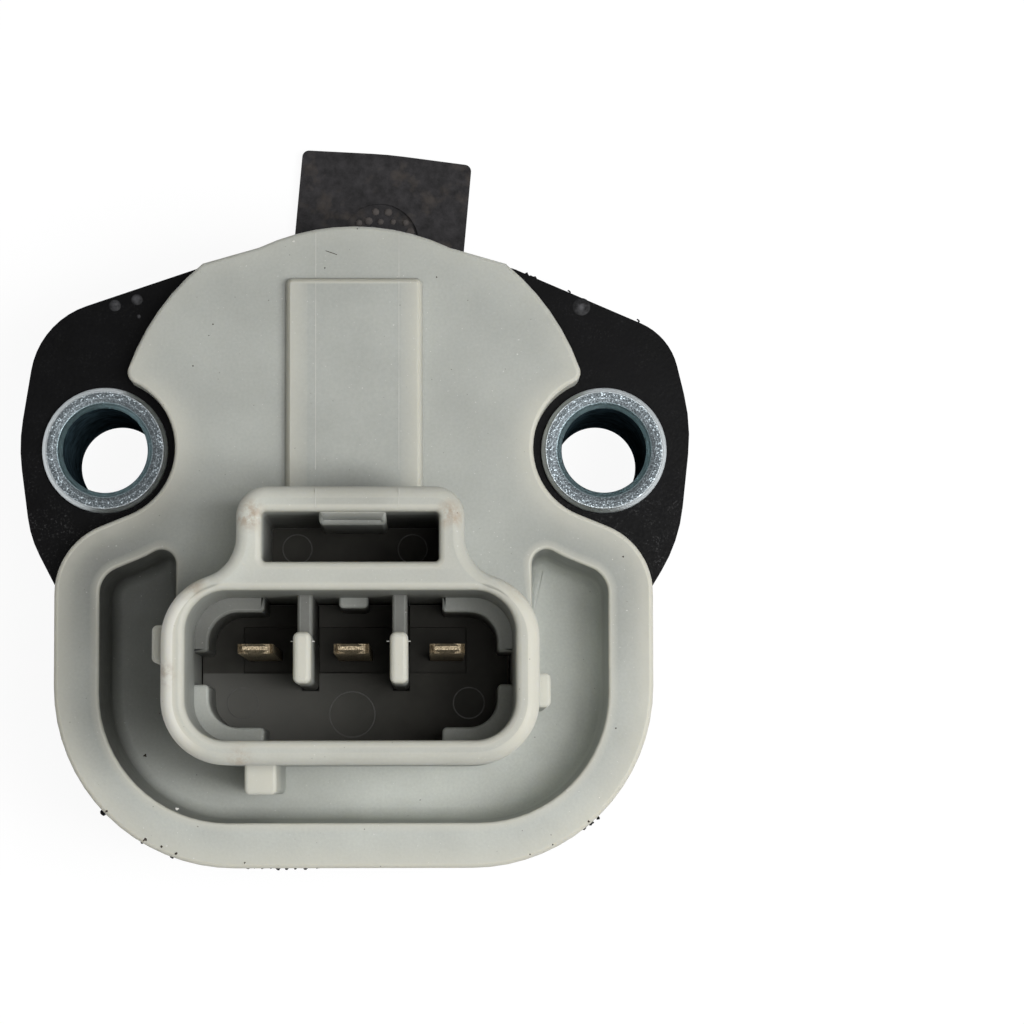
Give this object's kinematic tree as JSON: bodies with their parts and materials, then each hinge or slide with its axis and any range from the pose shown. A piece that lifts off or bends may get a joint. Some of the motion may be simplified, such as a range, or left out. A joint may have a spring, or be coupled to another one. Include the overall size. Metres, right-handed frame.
{
  "type": "throttle position sensor",
  "caption": "Flange-mounted throttle position sensor: black moulded base with plated screw bushings, pale grey cover, and a hooded blade connector with a latch block.",
  "frame": {"origin": "on the rotor axis, in the plane of the mounting face", "axes": "+Z out of the connector mouth, away from the throttle body; +X through the right bushing; +Y towards the gasket tab"},
  "size_m": [0.0466, 0.0524, 0.031],
  "materials": {
    "black_plastic": "moulded, low gloss",
    "grey_plastic": "moulded, satin",
    "plated_steel": "zinc plated",
    "terminal_metal": "tin over brass",
    "carrier_plastic": "moulded, matt",
    "plate_laminate": "plain",
    "carbon_ink": "printed",
    "silver_ink": "printed",
    "solder": "bright",
    "rotor_plastic": "moulded",
    "brush_metal": "sprung alloy",
    "spring_steel": "bright",
    "seal_rubber": "matt",
    "gasket_fibre": "fibre sheet"
  },
  "bodies": {
    "housing": {"base_housing": "black_plastic", "cover_housing": "grey_plastic", "bushing_left": "plated_steel", "bushing_right": "plated_steel", "terminal_left": "terminal_metal", "terminal_middle": "terminal_metal", "terminal_right": "terminal_metal", "terminal_carrier": "carrier_plastic", "resistor_substrate": "plate_laminate", "resistive_track": "carbon_ink", "collector_track": "carbon_ink", "conductor_pads": "silver_ink", "solder_left": "solder", "solder_middle": "solder", "solder_right": "solder", "return_spring": "spring_steel", "wave_washer": "spring_steel", "rotor_seal": "seal_rubber", "mounting_gasket": "gasket_fibre", "housing_seal": "seal_rubber"},
    "rotor": {"rotor": "rotor_plastic", "wiper": "brush_metal"}
  },
  "joints": [
    {"name": "rotor_turn", "type": "hinge", "parent": "housing", "child": "rotor", "pos_m": [0, 0, 0], "axis": [0, 0, 1], "range_deg": [0, 100], "stiffness_Nm_per_rad": 0.02, "springref_deg": -45.84, "deforming": ["return_spring"]}
  ]
}
